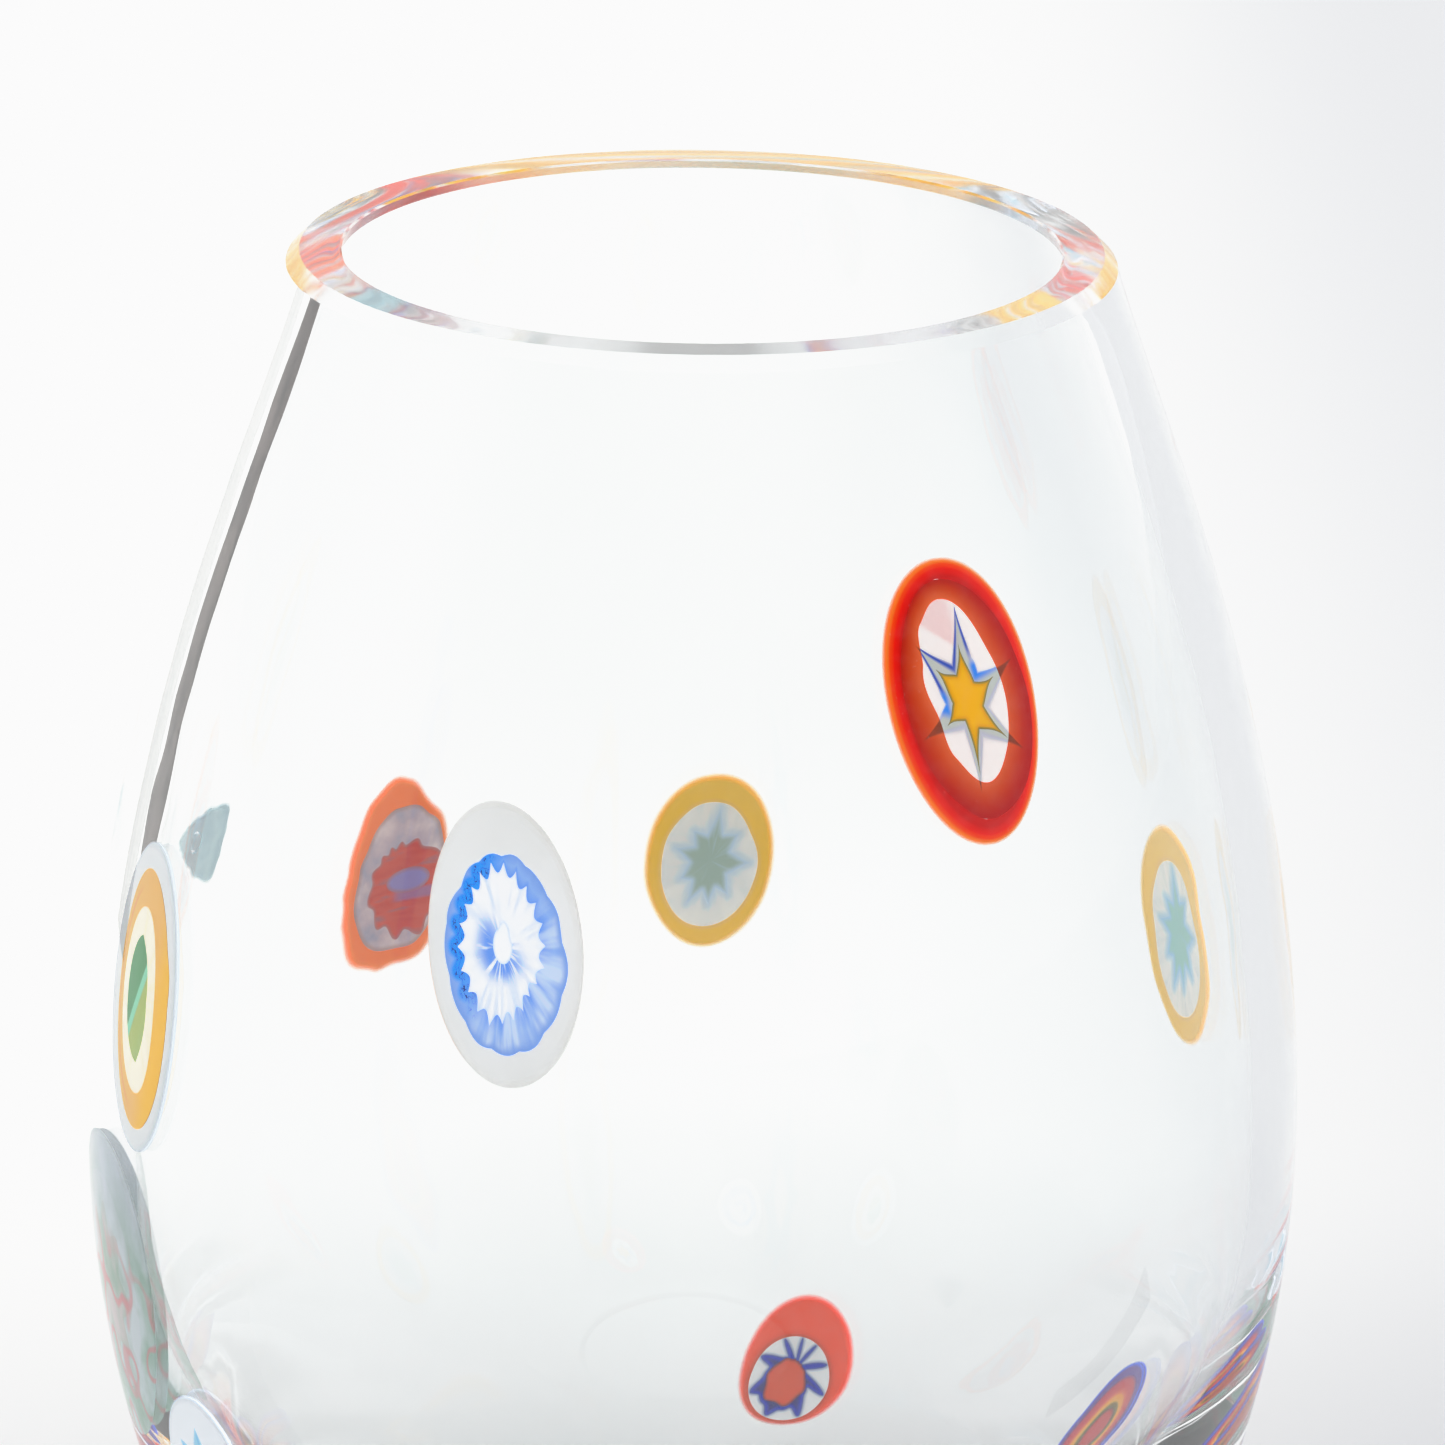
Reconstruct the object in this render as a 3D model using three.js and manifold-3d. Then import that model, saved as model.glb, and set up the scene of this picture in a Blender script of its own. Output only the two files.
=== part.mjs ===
// An egg-shaped vase of cased clear glass with a few large oval murrine.
//
// It is built in the order that the glass is: a clear first bubble, slices of
// patterned cane (murrine) picked up flush in its skin, and a last clear
// gather over everything, which also makes the heavy foot. The rim is cut flat
// and bevelled. Every slice is a set of nested layers, one for each colour
// that the cane was cased in.
//
// Millimetres, +Z up, the origin at the middle of the foot. Azimuth 0 faces
// -Y, and a growing azimuth turns towards +X.

import * as THREE from 'three';
import { mergeVertices } from 'three/addons/utils/BufferGeometryUtils.js';
import Module from 'manifold-3d';

const wasm = await Module();
wasm.setup();

// Outside of the vase
const HEIGHT = 215;
const RIM_RADIUS = 52; // outer edge of the rim's bevel
const RIM_BEVEL_HEIGHT = 1.6;
const RIM_FLAT_RADIUS = 50.3; // outer edge of the flat cut
const BELLY_RADIUS = 78.5;
const BELLY_HEIGHT = 98.4;
const FOOT_RADIUS = 38;
const FOOT_BEVEL = 1.2;
const SHOULDER_FLARE = 0.28; // how far the wall leans out below the rim, per mm down
const SHOULDER_HANDLE = 17; // length of the nearly straight stretch below the rim
const BELLY_HANDLE = 52; // length of the upright stretch above the belly

// Wall
const WALL_AT_BELLY = 5.9;
const WALL_AT_RIM = 6.3;
const CAVITY_FLOOR = 27; // height of the inside floor: the foot is a thick lens of glass
const CAVITY_SQUARENESS = 2.35; // 2 would be an ellipse
const CASING = 2.2; // last gather over the murrine
const GAP = 0.3; // between pieces that touch
const SLICE = 1.7; // thickness of a murrina
const SLICE_DEPTH = CASING + 2 * GAP; // of its face, just under the bubble's skin
const DISH_FLOOR = 9; // lowest point of the first bubble
const PRISM_REACH = 9; // half the depth of a pocket's cutter

// Smoothness of the turned surfaces
const TURN_STEPS = 40;
const UPPER_STEPS = 7;
const LOWER_STEPS = 8;
const FLOOR_STEPS = 5;

const bellyPoint = new THREE.Vector2(BELLY_RADIUS, BELLY_HEIGHT);
const shoulderTop = new THREE.Vector2(RIM_RADIUS, HEIGHT - RIM_BEVEL_HEIGHT);
const upperWall = new THREE.CubicBezierCurve(
  bellyPoint,
  new THREE.Vector2(BELLY_RADIUS, BELLY_HEIGHT + BELLY_HANDLE),
  new THREE.Vector2(
    shoulderTop.x + SHOULDER_FLARE * SHOULDER_HANDLE,
    shoulderTop.y - SHOULDER_HANDLE,
  ),
  shoulderTop,
);

// The lower wall is an arc of an ellipse that meets the bevel of the foot.
const footReach = (FOOT_RADIUS + FOOT_BEVEL) / BELLY_RADIUS;
const lowerSemiAxis = (BELLY_HEIGHT - FOOT_BEVEL) / Math.sqrt(1 - footReach ** 2);
const lowerWall = new THREE.EllipseCurve(
  0, BELLY_HEIGHT, BELLY_RADIUS, lowerSemiAxis, -Math.acos(footReach), 0,
);

// A point of a wall curve, moved in from the outer surface by depth.
function inFrom(curve, t, depth) {
  const along = curve.getTangent(t);
  const inward = new THREE.Vector2(-along.y, along.x);
  return curve.getPoint(t).addScaledVector(inward, depth);
}

// The upper wall at a depth that may change from belly to rim, ending level
// with the cut rim.
function upperPoints(depthAtBelly, depthAtRim) {
  const points = [];
  for (let i = 0; i <= UPPER_STEPS; i += 1) {
    const t = i / UPPER_STEPS;
    points.push(inFrom(upperWall, t, THREE.MathUtils.lerp(depthAtBelly, depthAtRim, t)));
  }
  const last = points[points.length - 1];
  const rise = HEIGHT - last.y;
  points.push(new THREE.Vector2(last.x - SHOULDER_FLARE * rise, HEIGHT));
  return points;
}

// The lower wall at one depth, from just above the foot up to the belly,
// without the belly's own point.
function lowerPoints(depth, firstStep) {
  const points = [];
  for (let i = firstStep; i < LOWER_STEPS; i += 1) {
    points.push(inFrom(lowerWall, i / LOWER_STEPS, depth));
  }
  return points;
}

// A skin between the two gathers: a round dish at the bottom, then the wall at
// one depth, from the axis up to the rim.
function skinPoints(depth) {
  const wall = lowerPoints(depth, 2);
  const edge = wall[0];
  const floor = DISH_FLOOR + depth - CASING;
  const dish = [];
  for (let i = 0; i < FLOOR_STEPS; i += 1) {
    const turn = (Math.PI / 2) * (1 - i / FLOOR_STEPS);
    dish.push(new THREE.Vector2(
      i === 0 ? 0 : edge.x * Math.cos(turn),
      edge.y - (edge.y - floor) * Math.sin(turn),
    ));
  }
  return [...dish, ...wall, ...upperPoints(depth, depth)];
}

// The inside of the vase, from the middle of its floor up to the rim.
function cavityPoints() {
  const radius = BELLY_RADIUS - WALL_AT_BELLY;
  const deep = BELLY_HEIGHT - CAVITY_FLOOR;
  const power = 2 / CAVITY_SQUARENESS;
  const bowl = [];
  for (let i = 0; i < FLOOR_STEPS + LOWER_STEPS; i += 1) {
    const turn = (Math.PI / 2) * (1 - i / (FLOOR_STEPS + LOWER_STEPS));
    bowl.push(new THREE.Vector2(
      i === 0 ? 0 : radius * Math.cos(turn) ** power,
      BELLY_HEIGHT - deep * Math.sin(turn) ** power,
    ));
  }
  return [...bowl, ...upperPoints(WALL_AT_BELLY, WALL_AT_RIM)];
}

// The outside of the vase, from the middle of the foot up to the rim's flat.
function outsidePoints() {
  return [
    new THREE.Vector2(0, 0),
    new THREE.Vector2(FOOT_RADIUS, 0),
    ...lowerPoints(0, 0),
    ...upperPoints(0, 0).slice(0, -1),
    new THREE.Vector2(RIM_FLAT_RADIUS, HEIGHT),
  ];
}

// Solids that can be joined and cut
function toSolid(geometry) {
  const bare = geometry.index ? geometry.toNonIndexed() : geometry.clone();
  bare.deleteAttribute('normal');
  bare.deleteAttribute('uv');
  const merged = mergeVertices(bare, 1e-4);
  return new wasm.Manifold(new wasm.Mesh({
    numProp: 3,
    vertProperties: new Float32Array(merged.attributes.position.array),
    triVerts: new Uint32Array(merged.index.array),
  }));
}

function toGeometry(solid) {
  const mesh = solid.getMesh();
  const geometry = new THREE.BufferGeometry();
  geometry.setAttribute('position', new THREE.BufferAttribute(mesh.vertProperties, 3));
  geometry.setIndex(new THREE.BufferAttribute(mesh.triVerts, 1));
  return geometry;
}

// A turned solid: its profile runs up the outside and back down the inside.
function turned(profile) {
  const geometry = new THREE.LatheGeometry(profile, TURN_STEPS);
  geometry.rotateX(Math.PI / 2);
  return toSolid(geometry);
}

// The layer of the wall between two depths, above the dish of the bubble.
function wallLayer(outerDepth, innerDepth) {
  const out = [...lowerPoints(outerDepth, 1), ...upperPoints(outerDepth, outerDepth)];
  const back = [...lowerPoints(innerDepth, 1), ...upperPoints(innerDepth, innerDepth)];
  return turned([...out, ...back.reverse(), out[0]]);
}

// Outlines of the layers of a cane. Each has a reach, as a share of the
// slice's half width and half length, and a number of teeth with the share of
// the reach that they stand in and out. No teeth makes a plain oval.
const OVAL_STEPS = 16;

function edgePoints(edge, halfWidth, halfLength, grow) {
  const count = edge.teeth ? edge.teeth * 2 : OVAL_STEPS;
  const points = [];
  for (let i = 0; i < count; i += 1) {
    const turn = Math.PI / 2 + (2 * Math.PI * i) / count;
    const tooth = edge.teeth ? edge.bite * (i % 2 === 0 ? 1 : -1) : 0;
    const reach = edge.reach * (1 + tooth);
    const point = new THREE.Vector2(
      halfWidth * reach * Math.cos(turn),
      halfLength * reach * Math.sin(turn),
    );
    points.push(point.addScaledVector(point.clone().normalize(), grow));
  }
  return points;
}

const oval = (reach) => ({ reach });
const toothed = (reach, teeth, bite) => ({ reach, teeth, bite });

// The canes, each from its outermost colour to its core
const CANES = {
  amberStar: [
    { layer: 'red_ring', colour: 0xe1230a, edge: oval(1) },
    { layer: 'brown_ring', colour: 0xcd4b1e, edge: oval(0.84) },
    { layer: 'white_field', colour: 0xf2ece8, edge: oval(0.6) },
    { layer: 'star', colour: 0xdea000, edge: toothed(0.36, 6, 0.38) },
  ],
  rosette: [
    { layer: 'white_ring', colour: 0xe4e4e4, edge: oval(1) },
    { layer: 'blue_ring', colour: 0x4f97ee, edge: oval(0.76) },
    { layer: 'petals', colour: 0xf4f4f6, edge: toothed(0.55, 12, 0.1) },
    { layer: 'drop', colour: 0x5c9ae6, edge: oval(0.2) },
  ],
  orangeWheel: [
    { layer: 'orange_ring', colour: 0xf08c50, edge: oval(1) },
    { layer: 'grey_ring', colour: 0xb4aab4, edge: oval(0.74) },
    { layer: 'red_cog', colour: 0xc34b37, edge: toothed(0.5, 9, 0.14) },
    { layer: 'lilac_core', colour: 0x8c82ae, edge: oval(0.22) },
  ],
  yellowStar: [
    { layer: 'yellow_ring', colour: 0xebc33c, edge: oval(1) },
    { layer: 'grey_field', colour: 0xd7dad6, edge: oval(0.7) },
    { layer: 'star', colour: 0xa5b9af, edge: toothed(0.42, 6, 0.3) },
  ],
  greenEye: [
    { layer: 'white_ring', colour: 0xe8ecee, edge: oval(1) },
    { layer: 'amber_ring', colour: 0xe4b964, edge: oval(0.78) },
    { layer: 'cream_ring', colour: 0xe8e1cd, edge: oval(0.52) },
    { layer: 'green_core', colour: 0x64a078, edge: oval(0.32) },
  ],
  blueCog: [
    { layer: 'orange_ring', colour: 0xf06446, edge: oval(1) },
    { layer: 'white_ring', colour: 0xcdd0d4, edge: oval(0.76) },
    { layer: 'blue_spikes', colour: 0x5064c8, edge: toothed(0.52, 9, 0.16) },
    { layer: 'red_core', colour: 0xd75f41, edge: toothed(0.3, 9, 0.1) },
  ],
  bullseye: [
    { layer: 'blue_ring', colour: 0x78a0f0, edge: oval(1) },
    { layer: 'red_ring', colour: 0xc36e73, edge: oval(0.82) },
    { layer: 'yellow_ring', colour: 0xdcb46e, edge: oval(0.55) },
    { layer: 'red_core', colour: 0xb9605a, edge: oval(0.34) },
  ],
  paleStar: [
    { layer: 'white_ring', colour: 0xe6e6e6, edge: oval(1) },
    { layer: 'blue_star', colour: 0x9bc8dc, edge: toothed(0.58, 8, 0.2) },
    { layer: 'white_core', colour: 0xebe8e4, edge: oval(0.24) },
  ],
  redGreenWheel: [
    { layer: 'green_ring', colour: 0x8fbca8, edge: oval(1) },
    { layer: 'grey_ring', colour: 0xc4c6c4, edge: oval(0.72) },
    { layer: 'red_cog', colour: 0xc87878, edge: toothed(0.46, 8, 0.16) },
  ],
  tealWheel: [
    { layer: 'teal_ring', colour: 0x96afb4, edge: oval(1) },
    { layer: 'teal_core', colour: 0xb4c3c6, edge: oval(0.5) },
  ],
};

// Where the slices lie on the wall, and how large they are. A lean above 0 tips
// the top towards a growing azimuth.
const murrina = (name, cane, spot, size) => ({ name, cane, ...spot, ...size });

const MURRINE = [
  murrina('amber_star', CANES.amberStar,
    { azimuth: 30.6, height: 174.3, lean: -7.5 }, { width: 21, length: 35.6 }),
  murrina('rosette', CANES.rosette,
    { azimuth: -18.5, height: 146.8, lean: -10 }, { width: 20.2, length: 35.2 }),
  murrina('orange_wheel', CANES.orangeWheel,
    { azimuth: -144, height: 110.8, lean: 0 }, { width: 20.5, length: 30 }),
  murrina('yellow_star_back', CANES.yellowStar,
    { azimuth: 178.6, height: 108, lean: -12 }, { width: 20.3, length: 28 }),
  murrina('yellow_star_side', CANES.yellowStar,
    { azimuth: 112.5, height: 115.3, lean: 4 }, { width: 23, length: 32 }),
  murrina('green_eye', CANES.greenEye,
    { azimuth: -66, height: 125.6, lean: -7 }, { width: 20.8, length: 40 }),
  murrina('teal_wheel', CANES.tealWheel,
    { azimuth: -105.3, height: 130.1, lean: -18 }, { width: 23, length: 15 }),
  murrina('blue_cog', CANES.blueCog,
    { azimuth: 164.6, height: 33.5, lean: -12 }, { width: 18, length: 25 }),
  murrina('bullseye', CANES.bullseye,
    { azimuth: 101, height: 40, lean: 13 }, { width: 20, length: 30 }),
  murrina('pale_star', CANES.paleStar,
    { azimuth: -54.5, height: 62.5, lean: -6 }, { width: 20, length: 29 }),
  murrina('red_green_wheel', CANES.redGreenWheel,
    { azimuth: -74, height: 83, lean: 0 }, { width: 34, length: 42 }),
  murrina('yellow_star_low', CANES.yellowStar,
    { azimuth: 34, height: 47, lean: 6 }, { width: 20, length: 30 }),
  murrina('pale_star_low', CANES.paleStar,
    { azimuth: -30, height: 42, lean: -8 }, { width: 20, length: 29 }),
];

// The height is turned into a place on the wall by halving the curve.
function wallAt(height) {
  const curve = height > BELLY_HEIGHT ? upperWall : lowerWall;
  let low = 0;
  let high = 1;
  for (let i = 0; i < 40; i += 1) {
    const middle = (low + high) / 2;
    if (curve.getPoint(middle).y < height) low = middle;
    else high = middle;
  }
  return { curve, t: low };
}

// A solid with a slice's outline, bent to the wall between two depths, with a
// hole for the next layer in.
function bentSlice(slice, outline, hole, outerDepth, innerDepth) {
  const shape = new THREE.Shape(outline);
  if (hole) shape.holes.push(new THREE.Path(hole));
  const geometry = new THREE.ExtrudeGeometry(shape, { depth: 1, bevelEnabled: false });
  const centre = wallAt(slice.height);
  const climb = centre.curve.getTangent(centre.t).y;
  const lean = THREE.MathUtils.degToRad(-slice.lean);
  const place = geometry.attributes.position;
  for (let i = 0; i < place.count; i += 1) {
    const flat = new THREE.Vector2(place.getX(i), place.getY(i));
    flat.rotateAround(new THREE.Vector2(), lean);
    const { curve, t } = wallAt(slice.height + flat.y * climb);
    const depth = THREE.MathUtils.lerp(innerDepth, outerDepth, place.getZ(i));
    const wall = inFrom(curve, t, depth);
    const turn = THREE.MathUtils.degToRad(slice.azimuth) + flat.x / curve.getPoint(t).x;
    place.setXYZ(i, wall.x * Math.sin(turn), -wall.x * Math.cos(turn), wall.y);
  }
  return geometry;
}

const CLEAR_GLASS = {
  color: 0xf4f8f8, roughness: 0.02, metalness: 0, transparent: true, opacity: 0.3,
};

function named(name, geometry, finish) {
  const mesh = new THREE.Mesh(geometry, new THREE.MeshStandardMaterial(finish));
  mesh.name = name;
  return mesh;
}

// A cutter for a slice's pocket: a straight prism through the wall, kept to
// the depths of the pocket.
const pocketLayer = wallLayer(CASING - GAP, SLICE_DEPTH + SLICE + GAP);

function pocketCutter(slice, outline) {
  const geometry = new THREE.ExtrudeGeometry(new THREE.Shape(outline), {
    depth: 2 * PRISM_REACH,
    bevelEnabled: false,
  });
  const { curve, t } = wallAt(slice.height);
  const along = curve.getTangent(t);
  const point = curve.getPoint(t);
  const turn = THREE.MathUtils.degToRad(slice.azimuth);
  const across = new THREE.Vector3(Math.cos(turn), Math.sin(turn), 0);
  const away = new THREE.Vector3(Math.sin(turn), -Math.cos(turn), 0);
  const up = away.clone().multiplyScalar(along.x).setZ(along.y);
  const frame = new THREE.Matrix4().makeBasis(across, up, across.clone().cross(up));
  frame.setPosition(away.multiplyScalar(point.x).setZ(point.y));
  geometry.translate(0, 0, -PRISM_REACH);
  geometry.rotateZ(THREE.MathUtils.degToRad(-slice.lean));
  geometry.applyMatrix4(frame);
  return toSolid(geometry).intersect(pocketLayer);
}

const vase = new THREE.Group();

// The murrine and the pockets that they sink into
let bubble = turned([...skinPoints(CASING + GAP), ...cavityPoints().reverse()]);

for (const slice of MURRINE) {
  const halfWidth = slice.width / 2;
  const halfLength = slice.length / 2;
  bubble = bubble.subtract(pocketCutter(slice, edgePoints(oval(1), halfWidth, halfLength, GAP)));
  slice.cane.forEach(({ layer, colour, edge }, i) => {
    const within = slice.cane[i + 1];
    const outline = edgePoints(edge, halfWidth, halfLength, i === 0 ? 0 : -GAP / 2);
    const hole = within && edgePoints(within.edge, halfWidth, halfLength, GAP / 2);
    const bent = bentSlice(slice, outline, hole, SLICE_DEPTH, SLICE_DEPTH + SLICE);
    const finish = { color: colour, roughness: 0.25, metalness: 0 };
    vase.add(named(`${slice.name}_${layer}`, bent, finish));
  });
}

// The two clear gathers
const casing = turned([...outsidePoints(), ...skinPoints(CASING).reverse()]);
vase.add(named('inner_bubble', toGeometry(bubble), CLEAR_GLASS));
vase.add(named('outer_casing', toGeometry(casing), CLEAR_GLASS));

export default vase;
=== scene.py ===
import math

import bpy
import numpy as np
from mathutils import Matrix, Vector


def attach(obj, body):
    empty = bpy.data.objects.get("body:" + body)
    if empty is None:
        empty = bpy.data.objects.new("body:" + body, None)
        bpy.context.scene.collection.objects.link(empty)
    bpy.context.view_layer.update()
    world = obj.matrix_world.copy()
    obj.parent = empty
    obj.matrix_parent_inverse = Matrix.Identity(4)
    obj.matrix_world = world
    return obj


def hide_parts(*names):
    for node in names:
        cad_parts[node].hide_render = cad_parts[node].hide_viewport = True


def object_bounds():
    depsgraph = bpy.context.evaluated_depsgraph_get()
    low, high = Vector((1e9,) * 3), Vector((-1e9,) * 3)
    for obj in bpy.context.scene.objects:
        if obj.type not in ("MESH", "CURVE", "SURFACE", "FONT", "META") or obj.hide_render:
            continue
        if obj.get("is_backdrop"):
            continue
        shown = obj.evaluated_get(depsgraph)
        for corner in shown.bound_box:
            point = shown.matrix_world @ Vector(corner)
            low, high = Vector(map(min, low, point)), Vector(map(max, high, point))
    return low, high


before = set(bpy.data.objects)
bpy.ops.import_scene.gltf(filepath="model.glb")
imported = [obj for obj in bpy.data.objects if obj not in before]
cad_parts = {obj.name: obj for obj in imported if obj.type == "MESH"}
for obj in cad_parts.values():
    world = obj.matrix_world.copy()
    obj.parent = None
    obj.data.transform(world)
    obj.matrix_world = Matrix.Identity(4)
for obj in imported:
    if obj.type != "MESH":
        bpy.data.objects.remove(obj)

MM = 0.001
cad_low, cad_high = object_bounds()
scene = bpy.context.scene


# ---------------------------------------------------------------- Camera
# A long lens a little above the rim, tipped down onto the neck and the belly,
# and turned by less than a degree, as a hand-levelled tripod head is.
AIM = Vector((3.3, 0, 152.3)) * MM
AIM_DISTANCE = 900 * MM
CAMERA_PITCH = math.radians(18.56)
CAMERA_ROLL = math.radians(0.73)

lens = bpy.data.cameras.new("camera")
lens.sensor_width = 36
lens.lens = 175.4
camera = bpy.data.objects.new("camera", lens)
scene.collection.objects.link(camera)
looking = Vector((0, math.cos(CAMERA_PITCH), -math.sin(CAMERA_PITCH)))
level = Vector((1, 0, 0))
upright = level.cross(looking)
right = level * math.cos(CAMERA_ROLL) + upright * math.sin(CAMERA_ROLL)
top = upright * math.cos(CAMERA_ROLL) - level * math.sin(CAMERA_ROLL)
camera.matrix_world = Matrix.Translation(AIM - looking * AIM_DISTANCE) @ Matrix(
    (right, top, -looking)
).transposed().to_4x4()
scene.camera = camera


# ---------------------------------------------------------------- Studio floor
# A wide sheet of matt white laminate, with no edge near the vase. It is shaded
# greyer to the right and the front, where less light falls. Only the stage.
class Wire:
    """A socket of a node tree. Arithmetic on it adds Math nodes."""

    def __init__(self, tree, socket=None):
        self.tree = tree
        self.socket = socket

    def node(self, kind, settings=None, values=None, output=0):
        made = self.tree.nodes.new("ShaderNode" + kind)
        for key, value in (settings or {}).items():
            if key == "stops":
                stops = made.color_ramp.elements
                for place, _ in value[2:]:
                    stops.new(place)
                for stop, (place, colour) in zip(stops, value):
                    stop.position = place
                    stop.color = colour
            else:
                setattr(made, key, value)
        for key, value in (values or {}).items():
            if isinstance(value, Wire):
                self.tree.links.new(value.socket, made.inputs[key])
            else:
                made.inputs[key].default_value = value
        return Wire(self.tree, made.outputs[output]) if made.outputs else None

    def math(self, operation, *values):
        return self.node("Math", {"operation": operation}, dict(enumerate(values)))

    def __add__(self, other):
        return self.math("ADD", self, other)

    def __radd__(self, other):
        return self.math("ADD", other, self)

    def __sub__(self, other):
        return self.math("SUBTRACT", self, other)

    def __rsub__(self, other):
        return self.math("SUBTRACT", other, self)

    def __mul__(self, other):
        return self.math("MULTIPLY", self, other)

    def __rmul__(self, other):
        return self.math("MULTIPLY", other, self)

    def __abs__(self):
        return self.math("ABSOLUTE", self)

    def between(self, low, high):
        """0 below low, 1 above high, with a soft step between them."""
        return self.node(
            "MapRange",
            {"interpolation_type": "SMOOTHSTEP"},
            {"Value": self, "From Min": low, "From Max": high},
        )

    def mix(self, colour, other):
        """colour where this is 0 and other where it is 1."""
        return self.node("Mix", {"data_type": "RGBA"}, {0: self, 6: colour, 7: other}, output=2)

    def ramp(self, *stops):
        return self.node("ValToRGB", {"stops": stops}, {"Fac": self})

    def part(self, axis):
        """One part, 0 to 2, of a vector."""
        return self.node("SeparateXYZ", None, {"Vector": self}, output=axis)

    def noise(self, scale, detail=2):
        return self.node("TexNoise", None, {"Vector": self, "Scale": scale, "Detail": detail})

    def vector(self, operation, other=None, output=0):
        values = {0: self} if other is None else {0: self, 1: other}
        return self.node("VectorMath", {"operation": operation}, values, output)


def tint(red, green, blue):
    """A colour as a printed chart gives it, 0 to 255, made linear."""
    made = []
    for value in (red, green, blue):
        share = value / 255
        made.append(share / 12.92 if share <= 0.04045 else ((share + 0.055) / 1.055) ** 2.4)
    return (*made, 1)


def new_finish(name):
    """An empty material and a wire into its tree."""
    material = bpy.data.materials.new(name)
    material.use_nodes = True
    material.node_tree.nodes.clear()
    return material, Wire(material.node_tree)


def new_piece(name, points, faces, material):
    mesh = bpy.data.meshes.new(name)
    mesh.from_pydata(points, [], faces)
    mesh.materials.append(material)
    piece = bpy.data.objects.new(name, mesh)
    scene.collection.objects.link(piece)
    return piece


FLOOR_RADIUS = 5.0
FLOOR_EDGES = 96
FLOOR_GAP = 0.2 * MM
FLOOR_SHADE_RIGHT = 0.9
FLOOR_SHADE_FRONT = 0.5

laminate, wire = new_finish("white_laminate")
place = wire.node("TexCoord", None, None, output=3)
sheet = place.noise(2.5, 4).ramp((0.3, tint(250, 250, 249)), (0.7, tint(252, 252, 251)))
rightwards = place.part(0).between(0.0, 0.2)
frontwards = (0.24 - place.part(1)).between(0.0, 0.16)
dimmed = rightwards * FLOOR_SHADE_RIGHT + frontwards * FLOOR_SHADE_FRONT
shader = wire.node("BsdfPrincipled", None, {
    "Base Color": dimmed.mix(sheet, tint(216, 217, 220)), "Roughness": 0.75, "Specular IOR Level": 0.2,
})
wire.node("OutputMaterial", None, {"Surface": shader})
floor_ring = [
    (FLOOR_RADIUS * math.cos(2 * math.pi * i / FLOOR_EDGES),
     FLOOR_RADIUS * math.sin(2 * math.pi * i / FLOOR_EDGES), -FLOOR_GAP)
    for i in range(FLOOR_EDGES)
]
floor = new_piece("floor", floor_ring, [tuple(range(FLOOR_EDGES))], laminate)
floor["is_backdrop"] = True


# ---------------------------------------------------------------- Studio light
# A white tent all round, a little greyer at its sides. What the front of the
# glass mirrors is darker, as the camera and its black cloth would be, so that
# colours under it stay deep.
TENT_WHITE = (1.0, 1.0, 0.995, 1)
TENT_SHADE = (0.13, 0.13, 0.13, 1)
TENT_SIDES = (0.62, 0.63, 0.65, 1)
TENT_GLOW = 1.06

tent = bpy.data.worlds.new("white_tent")
tent.use_nodes = True
tent.node_tree.nodes.clear()
scene.world = tent
wire = Wire(tent.node_tree)
direction = wire.node("TexCoord", None, None, output=0)
camera_side = (0 - direction.part(1)).between(0.15, 0.75)
above = direction.part(2).between(0.05, 0.3) * (1 - direction.part(2).between(0.75, 0.95))
mirrored = wire.node("LightPath", None, None, output="Is Glossy Ray")
aside = abs(direction.part(0)).between(0.35, 0.9) * (1 - direction.part(2).between(0.2, 0.6))
colour = (camera_side * above * mirrored).mix((aside * 0.5).mix(TENT_WHITE, TENT_SIDES), TENT_SHADE)
glow = wire.node("Background", None, {"Color": colour, "Strength": TENT_GLOW})
wire.node("OutputWorld", None, {"Surface": glow})

# A black felt flag on a stand behind the vase and to its left draws one dark
# line down the thick edge of the glass, as flags do in bright-field lighting.
# It only shows in glass: it shades nothing and the camera doesn't see it.
FLAG_AZIMUTH = math.radians(-134.5)
FLAG_DISTANCE = 0.5
FLAG_WIDTH = 0.062
FLAG_HEIGHT = 0.27

felt, wire = new_finish("black_felt")
nap = wire.node("TexCoord", None, None, output=3).noise(60)
shader = wire.node("BsdfPrincipled", None, {
    "Base Color": nap.ramp((0.3, tint(68, 64, 64)), (0.7, tint(122, 112, 109))),
    "Roughness": 1, "Specular IOR Level": 0,
})
wire.node("OutputMaterial", None, {"Surface": shader})
away = Vector((math.sin(FLAG_AZIMUTH), -math.cos(FLAG_AZIMUTH), 0))
across = Vector((math.cos(FLAG_AZIMUTH), math.sin(FLAG_AZIMUTH), 0)) * FLAG_WIDTH / 2
stand = away * FLAG_DISTANCE
flag_corners = [
    stand - across, stand + across,
    stand + across + Vector((0, 0, FLAG_HEIGHT)), stand - across + Vector((0, 0, FLAG_HEIGHT)),
]
flag = new_piece("flag", flag_corners, [(0, 1, 2, 3)], felt)
flag.visible_camera = False
flag.visible_diffuse = False
flag.visible_shadow = False
flag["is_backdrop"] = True

# The film keeps white paper just below pure white.
scene.view_settings.view_transform = "Standard"
scene.view_settings.use_curve_mapping = True
film = scene.view_settings.curve_mapping
film.extend = "HORIZONTAL"
film.curves[3].points[1].location = (1.0, 0.965)
for bright, shown in ((0.5, 0.5), (0.75, 0.83), (0.87, 0.94)):
    film.curves[3].points.new(bright, shown)
film.update()
scene.cycles.max_bounces = 128
scene.cycles.transmission_bounces = 128
scene.cycles.glossy_bounces = 128
scene.cycles.diffuse_bounces = 6
scene.cycles.transparent_max_bounces = 16


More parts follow.
